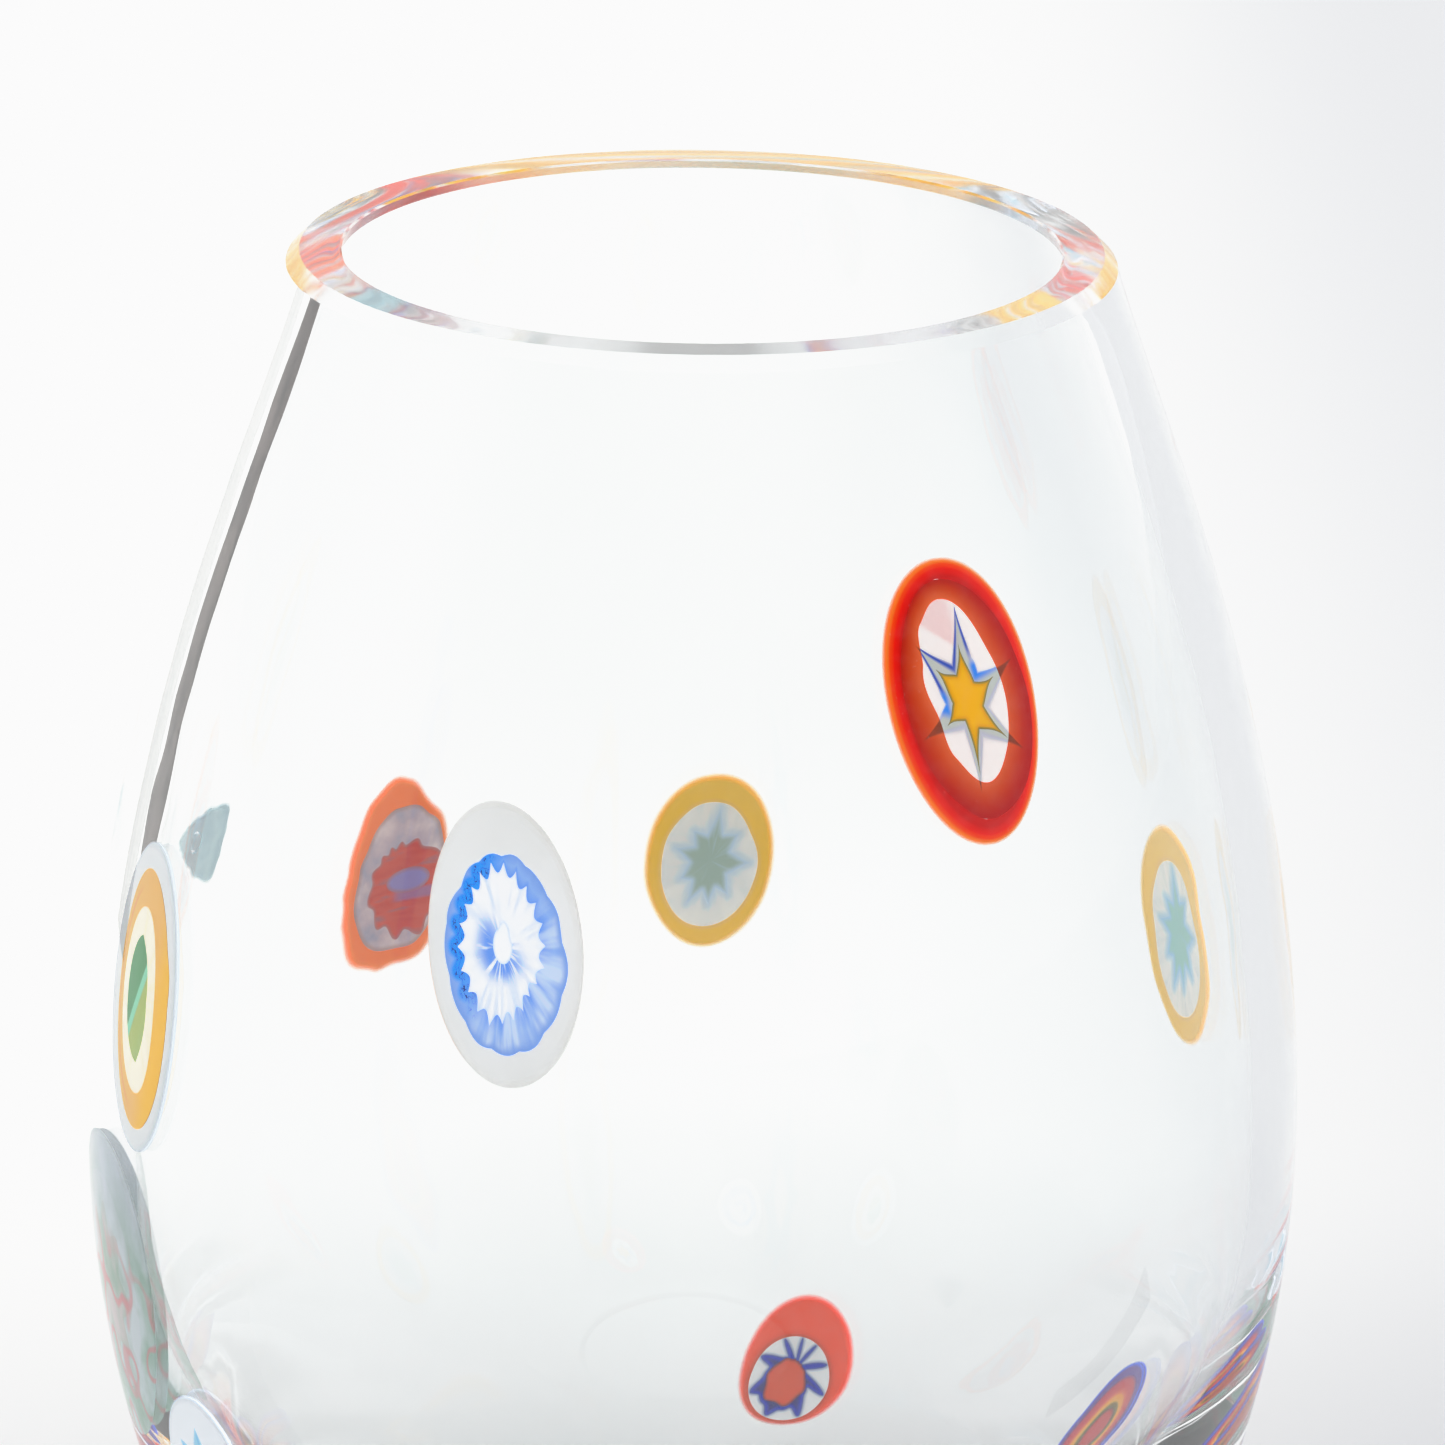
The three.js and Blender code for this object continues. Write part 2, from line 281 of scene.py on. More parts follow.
# ---------------------------------------------------------------- Clear glass
# The vase itself: the first bubble and the last gather over it, which have
# fused into one thick wall of clear crystal. It was blown, then the foot was
# ground flat and the rim was cut, bevelled and polished to a faint satin.
HEIGHT = cad_high[2] / MM
BELLY_RADIUS = cad_high[0] / MM
BELLY_HEIGHT = 98.4
RIM_RADIUS = 52.0
RIM_BEVEL = 1.7
RIM_BEVEL_HEIGHT = 1.6
SHOULDER_FLARE = 0.28
SHOULDER_HANDLE = 17
BELLY_HANDLE = 52
FOOT_RADIUS = 38
FOOT_BEVEL = 1.2
WALL_AT_BELLY = 5.9
WALL_AT_RIM = 6.3
CAVITY_FLOOR = 27
CAVITY_SQUARENESS = 2.35
TURN_STEPS = 256
POLISHED_EDGE = 0.25
WALL_RINGS = 49
CAVITY_RINGS = 57
SATIN_LOW = 0.09
SATIN_SPREAD = 0.04
SATIN_STARTS = 2.2       # below the rim
SATIN_FULL = 1.2

# The upper wall is one Bezier curve from the belly to the bevel of the rim.
UPPER_WALL = np.array([
    (BELLY_RADIUS, BELLY_HEIGHT),
    (BELLY_RADIUS, BELLY_HEIGHT + BELLY_HANDLE),
    (RIM_RADIUS + SHOULDER_FLARE * SHOULDER_HANDLE, HEIGHT - RIM_BEVEL_HEIGHT - SHOULDER_HANDLE),
    (RIM_RADIUS, HEIGHT - RIM_BEVEL_HEIGHT),
])


def upper_wall(share, depth):
    """Points of the upper wall, share 0 at the belly and 1 at the rim, moved in by depth."""
    t = np.asarray(share)[:, None]
    a, b, c, d = UPPER_WALL
    point = a * (1 - t) ** 3 + 3 * b * t * (1 - t) ** 2 + 3 * c * t ** 2 * (1 - t) + d * t ** 3
    along = (b - a) * (1 - t) ** 2 + 2 * (c - b) * t * (1 - t) + (d - c) * t ** 2
    along /= np.linalg.norm(along, axis=1)[:, None]
    inward = np.stack([-along[:, 1], along[:, 0]], 1)
    return point + inward * np.asarray(depth).reshape(-1, 1)


# The lower wall is an arc of an ellipse that ends at the bevel of the foot.
foot_turn = -math.acos((FOOT_RADIUS + FOOT_BEVEL) / BELLY_RADIUS)
LOWER_AXIS = (BELLY_HEIGHT - FOOT_BEVEL) / -math.sin(foot_turn)


def lower_wall(share, depth):
    """Points of the lower wall, share 0 at the foot and 1 at the belly, moved in by depth."""
    turn = foot_turn * (1 - np.asarray(share))
    point = np.stack([BELLY_RADIUS * np.cos(turn), BELLY_HEIGHT + LOWER_AXIS * np.sin(turn)], 1)
    along = np.stack([-BELLY_RADIUS * np.sin(turn), LOWER_AXIS * np.cos(turn)], 1)
    along /= np.linalg.norm(along, axis=1)[:, None]
    inward = np.stack([-along[:, 1], along[:, 0]], 1)
    return point + inward * np.asarray(depth).reshape(-1, 1)


shares = np.linspace(0, 1, WALL_RINGS)
lower = lower_wall(shares, 0)
upper = upper_wall(shares, 0)
foot = [(0, 0), (FOOT_RADIUS / 2, 0), (FOOT_RADIUS - POLISHED_EDGE, 0), (FOOT_RADIUS, 0.1)]
inside_upper = upper_wall(shares, WALL_AT_BELLY + (WALL_AT_RIM - WALL_AT_BELLY) * shares)
rim_inner = inside_upper[-1][0] - SHOULDER_FLARE * (HEIGHT - inside_upper[-1][1])
rim = [
    (RIM_RADIUS - RIM_BEVEL, HEIGHT),
    (rim_inner + POLISHED_EDGE, HEIGHT),
    (rim_inner, HEIGHT - POLISHED_EDGE),
]
sweep = np.linspace(0, math.pi / 2, CAVITY_RINGS)[1:]
power = 2 / CAVITY_SQUARENESS
cavity = np.stack([
    (BELLY_RADIUS - WALL_AT_BELLY) * np.abs(np.cos(sweep)) ** power,
    BELLY_HEIGHT - (BELLY_HEIGHT - CAVITY_FLOOR) * np.sin(sweep) ** power,
], 1)
profile = np.concatenate([foot, lower, upper[1:], rim, inside_upper[::-1], cavity[:-1], [(0, CAVITY_FLOOR)]])

glass_points = [(0, 0, 0)]
for radius, height in profile[1:-1]:
    for i in range(TURN_STEPS):
        turn = 2 * math.pi * i / TURN_STEPS
        glass_points.append((radius * math.sin(turn), -radius * math.cos(turn), height))
glass_points.append((0, 0, CAVITY_FLOOR))
glass_faces = []
rings = len(profile) - 2
for i in range(TURN_STEPS):
    j = (i + 1) % TURN_STEPS
    glass_faces.append((0, 1 + j, 1 + i))
    for ring in range(rings - 1):
        low = 1 + ring * TURN_STEPS
        high = low + TURN_STEPS
        glass_faces.append((low + i, low + j, high + j, high + i))
    last = 1 + (rings - 1) * TURN_STEPS
    glass_faces.append((last + i, last + j, len(glass_points) - 1))

crystal, wire = new_finish("clear_crystal")
place = wire.node("TexCoord", None, None, output=3)
wave = place.noise(55, 1)
relief = wire.node("Bump", None, {"Height": wave, "Strength": 0.008, "Distance": 0.01})
cut_rim = place.part(2).between((HEIGHT - SATIN_STARTS) * MM, (HEIGHT - SATIN_FULL) * MM)
satin = place.noise(90).between(0.2, 0.8) * SATIN_SPREAD + SATIN_LOW
shader = wire.node("BsdfPrincipled", None, {
    "Base Color": place.noise(20).ramp((0.3, tint(254, 255, 255)), (0.7, tint(252, 254, 254))),
    "Roughness": cut_rim * satin,
    "IOR": 1.5, "Transmission Weight": 1, "Normal": relief,
})
wire.node("OutputMaterial", None, {"Surface": shader})
glass = new_piece("clear_glass", np.array(glass_points) * MM, glass_faces, crystal)
glass.data.shade_smooth()

# The ground foot and the cut rim keep their crisp edges.
bevel_foot = len(foot) + len(lower) + len(upper) - 2
crisp = {2, 3, 4, bevel_foot, bevel_foot + 1, bevel_foot + 2, bevel_foot + 3}
for edge in glass.data.edges:
    rings_met = {1 + (vertex - 1) // TURN_STEPS for vertex in edge.vertices}
    if len(rings_met) == 1 and rings_met <= crisp:
        edge.use_edge_sharp = True
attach(glass, "root")
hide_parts("inner_bubble", "outer_casing")


# ---------------------------------------------------------------- Amber star
# A slice of cane with an amber star in a white field, seen through a window in
# brown-red glass with a bright red rim. The star's points run on under the
# brown. Like every slice here it was picked up hot and lies inside the wall.
SLICE_DEPTH = 2.8
SLICE_THICKNESS = 1.7
SLICE_TURNS = 360
SEAM = 0.004
WALL_SAMPLES = 400

wall_shares = np.linspace(0, 1, WALL_SAMPLES)
wall_heights = np.concatenate([lower_wall(wall_shares, 0), upper_wall(wall_shares, 0)[1:]])[:, 1]


def wall_point(height, depth):
    """Points of the wall below the skin at a height, as radius and height."""
    spot = np.interp(height, wall_heights, np.arange(len(wall_heights))) / (len(wall_shares) - 1)
    low = lower_wall(np.clip(spot, 0, 1), depth)
    high = upper_wall(np.clip(spot - 1, 0, 1), depth)
    return np.where((spot > 1)[:, None], high, low)


def into_wall(flat, depth, spot):
    """Flat points of a slice, in mm, bent into the wall at a depth."""
    azimuth, height, _, _, lean = spot
    turn = math.radians(-lean)
    x = flat[:, 0] * math.cos(turn) - flat[:, 1] * math.sin(turn)
    y = flat[:, 0] * math.sin(turn) + flat[:, 1] * math.cos(turn)
    step = np.diff(wall_point(np.array([height - 0.5, height + 0.5]), 0), axis=0)[0]
    level = height + y * step[1] / np.linalg.norm(step)
    around = math.radians(azimuth) + x / wall_point(level, 0)[:, 0]
    deep = wall_point(level, depth)
    return np.stack([deep[:, 0] * np.sin(around), -deep[:, 0] * np.cos(around), deep[:, 1]], 1)


def outline(edge, width, length):
    """An edge's points in mm. An edge gives its reach for every turn about the middle."""
    turn = np.linspace(0, 2 * math.pi, SLICE_TURNS, endpoint=False)
    reach = edge(turn)
    return np.stack([width / 2 * reach * np.cos(turn), length / 2 * reach * np.sin(turn)], 1)


def gap_to(points, line):
    """How far each point is from a closed line, in mm."""
    along = np.roll(line, -1, 0) - line
    share = ((points[:, None] - line) * along).sum(2) / ((along ** 2).sum(1) + 1e-12)
    nearest = line + along * np.clip(share, 0, 1)[..., None]
    return np.linalg.norm(points[:, None] - nearest, axis=2).min(1)


def cane_layer(node, material, spot, edge, inner=None, steps=8, melted=0.0, mark=None):
    """One colour of a slice, from its own edge in to the next colour's, as a bent plate.

    The mesh carries each point's place in the slice, its distances from both
    edges in mm, and what mark gives for its turn and reach."""
    width, length = spot[2:4]
    outer_line = outline(edge, width, length) * (1 - SEAM)
    inner_line = outline(inner, width, length) if inner else outer_line * 0
    shares = np.linspace(0, 1, steps + 1)[0 if inner else 1:]
    flat = np.concatenate([inner_line + (outer_line - inner_line) * share for share in shares])
    across = np.repeat(shares, SLICE_TURNS)
    if not inner:
        flat = np.concatenate([flat, [(0, 0)]])
        across = np.append(across, 0)
    to_outer = gap_to(flat, outer_line)
    to_inner = gap_to(flat, inner_line) if inner else np.linalg.norm(flat, axis=1)
    tuck = melted * (1 - np.sqrt(np.clip(to_outer / (2 * melted), 0, 1))) if melted else 0 * to_outer
    front = into_wall(flat, SLICE_DEPTH + tuck, spot)
    back = into_wall(flat, SLICE_DEPTH + SLICE_THICKNESS - tuck, spot)
    count = len(flat)
    last = (len(shares) - 1) * SLICE_TURNS
    faces = []
    for i in range(SLICE_TURNS):
        j = (i + 1) % SLICE_TURNS
        for low in range(0, last, SLICE_TURNS):
            high = low + SLICE_TURNS
            faces.append((low + i, high + i, high + j, low + j))
            faces.append((count + low + j, count + high + j, count + high + i, count + low + i))
        faces.append((last + i, count + last + i, count + last + j, last + j))
        if inner:
            faces.append((i, j, count + j, count + i))
        else:
            faces.append((count - 1, i, j))
            faces.append((2 * count - 1, count + j, count + i))
    piece = new_piece(node + "_cane", np.concatenate([front, back]) * MM, faces, material)
    place = flat / (width / 2, length / 2)
    marked = mark(np.arctan2(place[:, 1], place[:, 0]), np.linalg.norm(place, axis=1)) if mark else across
    for key, columns in (("place", [place[:, 0], place[:, 1], marked]),
                         ("edges", [to_inner, to_outer, across])):
        made = piece.data.attributes.new(key, "FLOAT_VECTOR", "POINT")
        values = np.stack(columns, 1)
        made.data.foreach_set("vector", np.concatenate([values, values]).astype(np.float32).ravel())
    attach(piece, "root")
    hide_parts(node)


def oval(reach, wobble=0.012, phase=0.0):
    """A plain oval edge, a little out of true as drawn cane is."""
    def edge(turn):
        wave = np.sin(2 * turn + phase) + 0.7 * np.sin(3 * turn + 2 * phase)
        return reach * (1 + wobble * wave)
    return edge


def through(*marks):
    """A rounded edge through a few (turn in degrees, reach) marks."""
    marks = sorted((turn % 360, reach) for turn, reach in marks)
    turns = np.array([marks[-1][0] - 360, *(turn for turn, _ in marks), marks[0][0] + 360])
    reaches = np.array([marks[-1][1], *(reach for _, reach in marks), marks[0][1]])

    def edge(turn):
        here = np.degrees(turn) % 360
        after = np.clip(np.searchsorted(turns, here, "right"), 1, len(turns) - 1)
        share = (here - turns[after - 1]) / (turns[after] - turns[after - 1])
        ease = (1 - np.cos(math.pi * share)) / 2
        return reaches[after - 1] + (reaches[after] - reaches[after - 1]) * ease
    return edge


def pointed(tips, valleys, hollow=0.62):
    """A star edge through tips and valleys, each a (turn in degrees, reach)."""
    marks = sorted([(turn % 360, reach, True) for turn, reach in tips]
                   + [(turn % 360, reach, False) for turn, reach in valleys])
    marks = [(marks[-1][0] - 360, *marks[-1][1:]), *marks, (marks[0][0] + 360, *marks[0][1:])]

    def edge(turn):
        here = np.degrees(turn) % 360
        reach = np.zeros(len(here))
        for (start, low, is_tip), (end, high, _) in zip(marks, marks[1:]):
            inside = (here >= start) & (here <= end)
            share = (here[inside] - start) / (end - start)
            bend = (share if is_tip else 1 - share) ** hollow
            tip, valley = (low, high) if is_tip else (high, low)
            reach[inside] = 1 / ((1 - bend) / tip + bend / valley)
        return reach
    return edge


# Strength of the painted glow: every coloured slice gives off a little light of its own colour.
PAINTED_GLOW_STRENGTH = 0.38


def enamel(wire, colour, alpha=1.0):
    """Coloured cane glass: matt where it is fused into the clear, with a fine mottle.

    A little of its colour glows, a painted glow that stands in for the daylight which soaks through the
    slice."""
    place = wire.node("TexCoord", None, None, output=3)
    mottle = place.noise(420, 3).between(0.35, 0.8) * 0.02 + place.noise(2600, 1).between(0.7, 0.8) * 0.05
    mottled = mottle.mix(colour, (1, 1, 1, 1))
    shader = wire.node("BsdfPrincipled", None, {
        "Base Color": mottled, "Roughness": 0.7, "Specular IOR Level": 0,
        "Emission Color": mottled, "Emission Strength": PAINTED_GLOW_STRENGTH, "Alpha": alpha,
    })
    wire.node("OutputMaterial", None, {"Surface": shader})


def attribute(wire, name, part):
    return wire.node("Attribute", {"attribute_name": name}, None, output=1).part(part)


def streaks(wire, fineness, run=0.4):
    """Fine rays that run outwards from the middle of a slice."""
    place = wire.node("Attribute", {"attribute_name": "place"}, None, output=1)
    flat = place.vector("MULTIPLY", (1, 1, 0))
    spread = flat.vector("NORMALIZE")
    reach = flat.vector("LENGTH", output=1)
    return spread.vector("ADD", wire.node("CombineXYZ", None, {"Z": reach * run})).noise(fineness, 2)


AMBER_STAR = (30.6, 174.3, 21, 35.6, -7.5)       # azimuth, height, width, length, lean
window = through((97, 0.72), (28, 0.53), (-17, 0.54), (-45, 0.55), (-82, 0.58), (-134, 0.47),
                 (-170, 0.41), (146, 0.54), (120, 0.68))
brown_edge = through((153, 0.80), (98, 0.85), (51, 0.83), (18, 0.84), (-10, 0.87), (-38, 0.87),
                     (-87, 0.83), (-134, 0.77), (-172, 0.78))
hollows = [(104, 0.20), (34, 0.20), (-18, 0.22), (-70, 0.22), (-125, 0.15), (175, 0.19)]
whole_star = pointed([(76, 0.64), (13, 0.77), (-36, 0.76), (-99, 0.63), (-166, 0.69), (135, 0.65)],
                     [(turn, reach + 0.05) for turn, reach in hollows], 0.8)
amber_star = pointed([(78, 0.40), (13, 0.45), (-38, 0.54), (-97, 0.52), (-160, 0.35), (137, 0.40)], hollows)


def clipped_star(turn):
    return np.minimum(amber_star(turn), window(turn) * 0.99)


def within_star(turn, reach):
    """Above 0.5 inside the whole star, below outside, with a soft edge."""
    return np.clip((whole_star(turn) - reach) * 6 + 0.5, 0, 1)


red, wire = new_finish("amber_star_red")
depth = attribute(wire, "edges", 1)
enamel(wire, (depth * 0.45).ramp(
    (0.0, tint(255, 200, 130)), (0.16, tint(255, 150, 50)), (0.36, tint(255, 76, 4)),
    (0.62, tint(242, 20, 0)), (1.0, tint(214, 2, 0)),
), depth.between(-0.15, 0.6))
cane_layer("amber_star_red_ring", red, AMBER_STAR, oval(1), brown_edge, 10, 0.6)

brown, wire = new_finish("amber_star_brown")
side = attribute(wire, "place", 0) - attribute(wire, "place", 1) * 0.6
share = attribute(wire, "edges", 2)
deep = (share + side * 0.18).ramp(
    (0.0, tint(228, 106, 56)), (0.4, tint(214, 74, 26)), (0.75, tint(200, 36, 6)), (1.0, tint(192, 2, 0)),
)
shadow = attribute(wire, "place", 2).between(0.35, 0.75) * (1 - share * 0.6)
enamel(wire, (shadow * 0.8).mix(deep, tint(104, 52, 40)))
cane_layer("amber_star_brown_ring", brown, AMBER_STAR, brown_edge, window, 26, mark=within_star)

white, wire = new_finish("amber_star_white")
upper = attribute(wire, "place", 1)
sideways = attribute(wire, "place", 0)
arm = attribute(wire, "place", 2)
blush = (upper + sideways * 0.55).between(0.37, 0.42) * (0.1 - sideways).between(-0.1, 0.1)
field = blush.mix(tint(252, 251, 250), tint(246, 226, 226))
smoke = arm.between(0.0, 1.0)
field = (smoke * 0.8).mix(field, tint(186, 200, 196))
line = arm.between(0.2, 0.5) * (1 - arm.between(0.55, 0.95))
upper_left = (upper - sideways * 0.5).between(0.12, 0.3)
notch = (1 - abs(upper - 0.16 - sideways * 0.1).between(0.03, 0.1)) * sideways.between(0.12, 0.2)
left_notch = (1 - abs(upper + 0.06 + sideways * 0.3).between(0.04, 0.12)) * (0 - sideways).between(0.2, 0.28)
field = (line * (upper_left * 0.75 + 0.22)).mix(field, tint(38, 84, 200))
enamel(wire, ((notch + left_notch) * arm.between(0.1, 0.4)).mix(field, tint(56, 150, 250)))
cane_layer("amber_star_white_field", white, AMBER_STAR, window, clipped_star, 26,
           mark=within_star)

amber, wire = new_finish("amber_star_amber")
inside = attribute(wire, "edges", 1)
enamel(wire, inside.ramp((0.0, tint(122, 128, 84)), (0.35, tint(226, 176, 8)), (0.8, tint(248, 194, 0))))
cane_layer("amber_star_star", amber, AMBER_STAR, clipped_star, None, 12)


# ---------------------------------------------------------------- Rosette
# A flower of some twenty white petals on a blue ground, in a broad band of
# opaque white. The slice was cut a little aslant, so a second row of petals
# shows as pale streaks at its lower right.
ROSETTE = (-18.5, 146.8, 20.2, 35.2, -10)
blue_edge = through((170, 0.76), (134, 0.66), (90, 0.64), (48, 0.68), (10, 0.76), (-15, 0.82),
                    (-52, 0.77), (-94, 0.76), (-128, 0.79), (-155, 0.78))
petal_edge = through((91, 0.57), (47, 0.53), (5, 0.53), (-17, 0.51), (-46, 0.44), (-88, 0.50),
                     (-122, 0.58), (-151, 0.56), (-177, 0.57), (159, 0.54), (137, 0.52), (109, 0.54))
drop_edge = through((74, 0.18), (20, 0.12), (6, 0.13), (-60, 0.12), (-99, 0.12), (178, 0.12), (110, 0.13))


def scallops(turn):
    return blue_edge(turn) * (1 - 0.035 + 0.035 * np.abs(np.sin(6.5 * turn)))


def petals(turn):
    return petal_edge(turn) * (1.05 - 0.16 * np.abs(np.sin(11 * turn + 0.3)) ** 0.8)


white, wire = new_finish("rosette_white")
depth = attribute(wire, "edges", 1)
left = (0 - attribute(wire, "place", 0)).between(0.55, 0.8)
cloud = wire.node("TexCoord", None, None, output=3).noise(160, 3)
milk = cloud.ramp((0.3, tint(235, 235, 233)), (0.7, tint(241, 241, 240)))
edge_line = (1 - depth.between(0.1, 0.3)) * left
enamel(wire, (edge_line * 0.5).mix(milk, tint(226, 190, 178)), depth.between(-0.12, 0.1))
cane_layer("rosette_white_ring", white, ROSETTE, oval(1, 0.008, 1.0), scallops, 8, 0.5)

blue, wire = new_finish("rosette_blue")
sideways = attribute(wire, "place", 0)
upper = attribute(wire, "place", 1)
inner = attribute(wire, "edges", 0)
share = attribute(wire, "edges", 2)
ground = (share + streaks(wire, 5) * 0.4 - 0.2).ramp(
    (0.0, tint(112, 166, 242)), (0.5, tint(152, 190, 244)), (1.0, tint(134, 174, 234)),
)
corner = (upper * 0.6 - sideways).between(0.1, 0.55) * (1 - inner.between(0.9, 1.7))
ground = corner.mix(ground, tint(30, 160, 255))
second = (sideways * 0.7 - upper).between(-0.05, 0.5) * streaks(wire, 5, 0.3).between(0.32, 0.62)
ground = (second * (1 - share.between(0.7, 1.0)) * 0.85).mix(ground, tint(218, 230, 249))
crack_line = 1 - abs(streaks(wire, 9, 2.0) - 0.5).between(0.012, 0.03)
crack = crack_line * (upper * 0.4 - sideways).between(0.2, 0.4) * (1 - inner.between(0.7, 1.3))
enamel(wire, (crack * 0.9).mix(ground, tint(32, 52, 140)))
cane_layer("rosette_blue_ring", blue, ROSETTE, scallops, petals, 16)

white, wire = new_finish("rosette_petals")
sideways = attribute(wire, "place", 0)
upper = attribute(wire, "place", 1)
inner = attribute(wire, "edges", 0)
depth = attribute(wire, "edges", 1)
grooves = streaks(wire, 6, 0.3).between(0.46, 0.7) * inner.between(0.6, 2.4) * 0.5
flower = grooves.mix(tint(252, 252, 253), tint(184, 210, 246))
around_drop = (1 - inner.between(0.6, 3.2)) * (0 - upper - sideways * 0.8).between(-0.28, 0.1)
around_drop = around_drop * streaks(wire, 5, 0.6).between(0.3, 0.52)
flower = (around_drop * 0.95).mix(flower, tint(92, 158, 240))
soft_edge = (1 - depth.between(0.0, 0.35)) * 0.4
enamel(wire, soft_edge.mix(flower, tint(196, 216, 248)))
cane_layer("rosette_petals", white, ROSETTE, petals, drop_edge, 16)

drop, wire = new_finish("rosette_drop")
enamel(wire, attribute(wire, "edges", 1).ramp((0.0, tint(206, 224, 250)), (0.3, tint(254, 254, 254))))
cane_layer("rosette_drop", drop, ROSETTE, drop_edge, None, 6)


# ---------------------------------------------------------------- Orange wheel
# A red cog with a lilac heart on a smoky ground, in orange. It lies on the
# back wall, where it was dragged sideways, so its red runs in level bands.
ORANGE_WHEEL = (-144, 110.8, 20.5, 30, 0)
wheel_edge = through((90, 1.0), (105, 0.98), (130, 0.91), (152, 0.99), (180, 0.98), (-120, 1.03),
                     (-90, 0.97), (-68, 1.05), (-47, 1.14), (-27, 1.07), (-12, 0.98), (8, 0.86),
                     (32, 0.84), (62, 0.92))
smoke_edge = through((90, 0.66), (130, 0.76), (152, 0.86), (180, 0.88), (-120, 0.84), (-90, 0.78),
                     (-50, 0.86), (-27, 0.84), (8, 0.66), (32, 0.60), (62, 0.62))


def set_off(x, y, across, along):
    """The edge of an oval whose own middle lies away from the slice's middle."""
    def edge(turn):
        run, rise = np.cos(turn), np.sin(turn)
        a = (run / across) ** 2 + (rise / along) ** 2
        b = x * run / across ** 2 + y * rise / along ** 2
        c = (x / across) ** 2 + (y / along) ** 2 - 1
        return (b + np.sqrt(b ** 2 - a * c)) / a
    return edge


dragged = set_off(-0.2, -0.18, 0.68, 0.48)
long_heart = set_off(-0.24, -0.09, 0.4, 0.13)


def cog_edge(turn):
    return np.minimum(dragged(turn) * (1 + 0.08 * np.sin(11 * turn)), smoke_edge(turn) * 0.98)


def heart_edge(turn):
    return np.minimum(long_heart(turn), cog_edge(turn) * 0.9)


orange, wire = new_finish("orange_wheel_orange")
depth = attribute(wire, "edges", 1)
orange_band = (depth * 0.5).ramp(
    (0.0, tint(255, 190, 140)), (0.35, tint(255, 154, 76)), (0.8, tint(250, 134, 60)),
)
enamel(wire, orange_band, depth.between(-0.1, 1.3))
cane_layer("orange_wheel_orange_ring", orange, ORANGE_WHEEL, wheel_edge, smoke_edge, 8, 0.6)

smoky, wire = new_finish("orange_wheel_smoke")
cloud = wire.node("TexCoord", None, None, output=3).noise(260, 3)
ground = cloud.ramp((0.3, tint(166, 168, 186)), (0.5, tint(196, 184, 192)), (0.7, tint(220, 208, 208)))
rim_tint = (1 - attribute(wire, "edges", 1).between(0.0, 0.9)) * 0.6
enamel(wire, rim_tint.mix(ground, tint(176, 132, 116)))
cane_layer("orange_wheel_grey_ring", smoky, ORANGE_WHEEL, smoke_edge, cog_edge, 8)

red, wire = new_finish("orange_wheel_red")
level_bands = wire.node("CombineXYZ", None, {
    "X": attribute(wire, "place", 0) * 0.6, "Y": attribute(wire, "place", 1) * 4,
}).noise(2.2, 2)
upper = attribute(wire, "place", 1)
lilac_bar = (1 - abs(upper + 0.24).between(0.03, 0.08)) * (0 - attribute(wire, "place", 0)).between(-0.1, 0.1)
red_band = level_bands.ramp((0.35, tint(204, 66, 46)), (0.55, tint(212, 84, 62)), (0.7, tint(176, 110, 116)))
red_band = (lilac_bar * 0.7).mix(red_band, tint(150, 124, 176))
enamel(wire, (1 - attribute(wire, "edges", 1).between(0.0, 0.6)).mix(red_band, tint(186, 120, 116)))
cane_layer("orange_wheel_red_cog", red, ORANGE_WHEEL, cog_edge, heart_edge, 8)

lilac, wire = new_finish("orange_wheel_lilac")
enamel(wire, attribute(wire, "edges", 1).ramp((0.0, tint(176, 118, 130)), (0.7, tint(150, 140, 196))))
cane_layer("orange_wheel_lilac_core", lilac, ORANGE_WHEEL, heart_edge, None, 5)


# ---------------------------------------------------------------- Yellow stars
# Three slices of one cane: a frayed grey-green star with pale blue fringes on
# milky grey, in a broad yellow band.
field_edge = through((90, 0.66), (45, 0.68), (0, 0.74), (-45, 0.74), (-90, 0.74), (-135, 0.76),
                     (180, 0.74), (135, 0.64))
frayed_tips = [(88, 0.60), (40, 0.44), (4, 0.56), (-34, 0.48), (-68, 0.56), (-104, 0.50), (-140, 0.52),
               (174, 0.60), (132, 0.48)]
frayed_valleys = [(64, 0.30), (22, 0.30), (-14, 0.32), (-50, 0.34), (-86, 0.34), (-122, 0.33), (-160, 0.32),
                  (152, 0.30), (108, 0.33)]
frayed = pointed(frayed_tips, frayed_valleys, 0.9)


